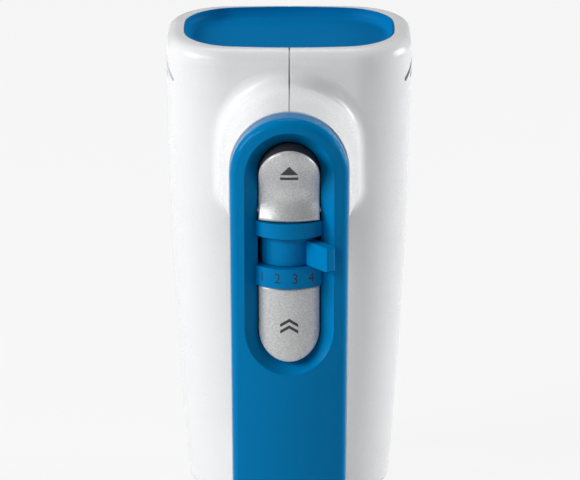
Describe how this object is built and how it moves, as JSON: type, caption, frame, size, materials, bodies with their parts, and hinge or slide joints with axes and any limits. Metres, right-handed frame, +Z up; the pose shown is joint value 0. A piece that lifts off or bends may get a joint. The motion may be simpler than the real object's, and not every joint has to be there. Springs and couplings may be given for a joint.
{
  "type": "hand mixer",
  "caption": "Upright hand mixer with a bridge handle, thumb controls for eject, speed and turbo, and worm-driven beater sockets under the nose.",
  "frame": {"origin": "on the heel face that the mixer stands on, in the seam between the two housing halves", "axes": "+X to the right seen from the handle's top, -Y out of the handle's top, +Z up to the nose"},
  "size_m": [0.0926, 0.1308, 0.1862],
  "materials": {
    "white_shell": "gloss",
    "blue_plastic": "gloss",
    "silver_button": "fine-grained satin",
    "dark_plastic": "satin",
    "steel": "bright",
    "core_steel": "laminated",
    "copper": "enamelled wire",
    "bronze": "sintered",
    "natural_nylon": "satin",
    "die_cast": "as cast",
    "gland_rubber": "matt",
    "carbon": "matt"
  },
  "bodies": {
    "housing": {"housing_left": "white_shell", "housing_right": "white_shell", "handle_cover": "blue_plastic", "nose_panel": "blue_plastic", "switch_block": "dark_plastic", "rear_bracket": "dark_plastic", "left_brush_holder": "dark_plastic", "right_brush_holder": "dark_plastic", "left_socket_collar": "dark_plastic", "right_socket_collar": "dark_plastic", "housing_screws": "steel", "eject_pivot_pin": "steel", "motor_screws": "steel", "eject_spring": "steel", "turbo_spring": "steel", "stator_core": "core_steel", "field_coil_upper": "copper", "field_coil_lower": "copper", "front_bearing": "bronze", "tip_bearing": "bronze", "rear_bearing": "bronze", "left_upper_bush": "bronze", "right_upper_bush": "bronze", "left_lower_bush": "bronze", "right_lower_bush": "bronze", "gear_frame": "die_cast", "cord_gland": "gland_rubber", "left_brush": "carbon", "right_brush": "carbon"},
    "armature": {"armature_core": "core_steel", "armature_winding": "copper", "commutator": "copper", "fan": "natural_nylon", "motor_shaft": "steel"},
    "left_drive": {"left_worm_wheel": "natural_nylon", "left_spindle": "steel"},
    "right_drive": {"right_worm_wheel": "natural_nylon", "right_spindle": "steel"},
    "eject_button_body": {"eject_button": "silver_button", "eject_carrier": "dark_plastic"},
    "ejector": {"ejector_yoke": "natural_nylon"},
    "speed_selector": {"speed_drum": "blue_plastic", "drum_axle": "steel"},
    "turbo_button_body": {"turbo_button": "silver_button"}
  },
  "joints": [
    {"name": "armature_spin", "type": "hinge", "parent": "housing", "child": "armature", "pos_m": [0, 0.031, 0.08235], "axis": [0, 0, 1], "continuous": true},
    {"name": "left_beater_spin", "type": "hinge", "parent": "housing", "child": "left_drive", "pos_m": [-0.022, 0.031, 0.1481], "axis": [0, 1, 0], "continuous": true},
    {"name": "right_beater_spin", "type": "hinge", "parent": "housing", "child": "right_drive", "pos_m": [0.022, 0.031, 0.1481], "axis": [0, 1, 0], "continuous": true},
    {"name": "eject_press", "type": "hinge", "parent": "housing", "child": "eject_button_body", "pos_m": [0, -0.0545, 0.1301], "axis": [-1, 0, 0], "range_deg": [0, 12], "stiffness_Nm_per_rad": 0.6, "springref_deg": -2.86, "deforming": ["eject_spring"]},
    {"name": "ejector_slide", "type": "slide", "parent": "housing", "child": "ejector", "axis": [0, 1, 0], "range_m": [0, 0.00377]},
    {"name": "speed_select", "type": "hinge", "parent": "housing", "child": "speed_selector", "pos_m": [0, -0.0493, 0.11535], "axis": [0, 0, 1], "range_deg": [-78, 0]},
    {"name": "turbo_press", "type": "slide", "parent": "housing", "child": "turbo_button_body", "axis": [0, 1, 0], "range_m": [0, 0.002], "stiffness_N_per_m": 500, "springref_m": -0.002, "deforming": ["turbo_spring"]}
  ],
  "couplings": [
    {"joint": "left_beater_spin", "follows": "armature_spin", "ratio": 0.03125},
    {"joint": "right_beater_spin", "follows": "armature_spin", "ratio": -0.03125},
    {"joint": "ejector_slide", "follows": "eject_press", "m_per_rad": 0.018}
  ]
}
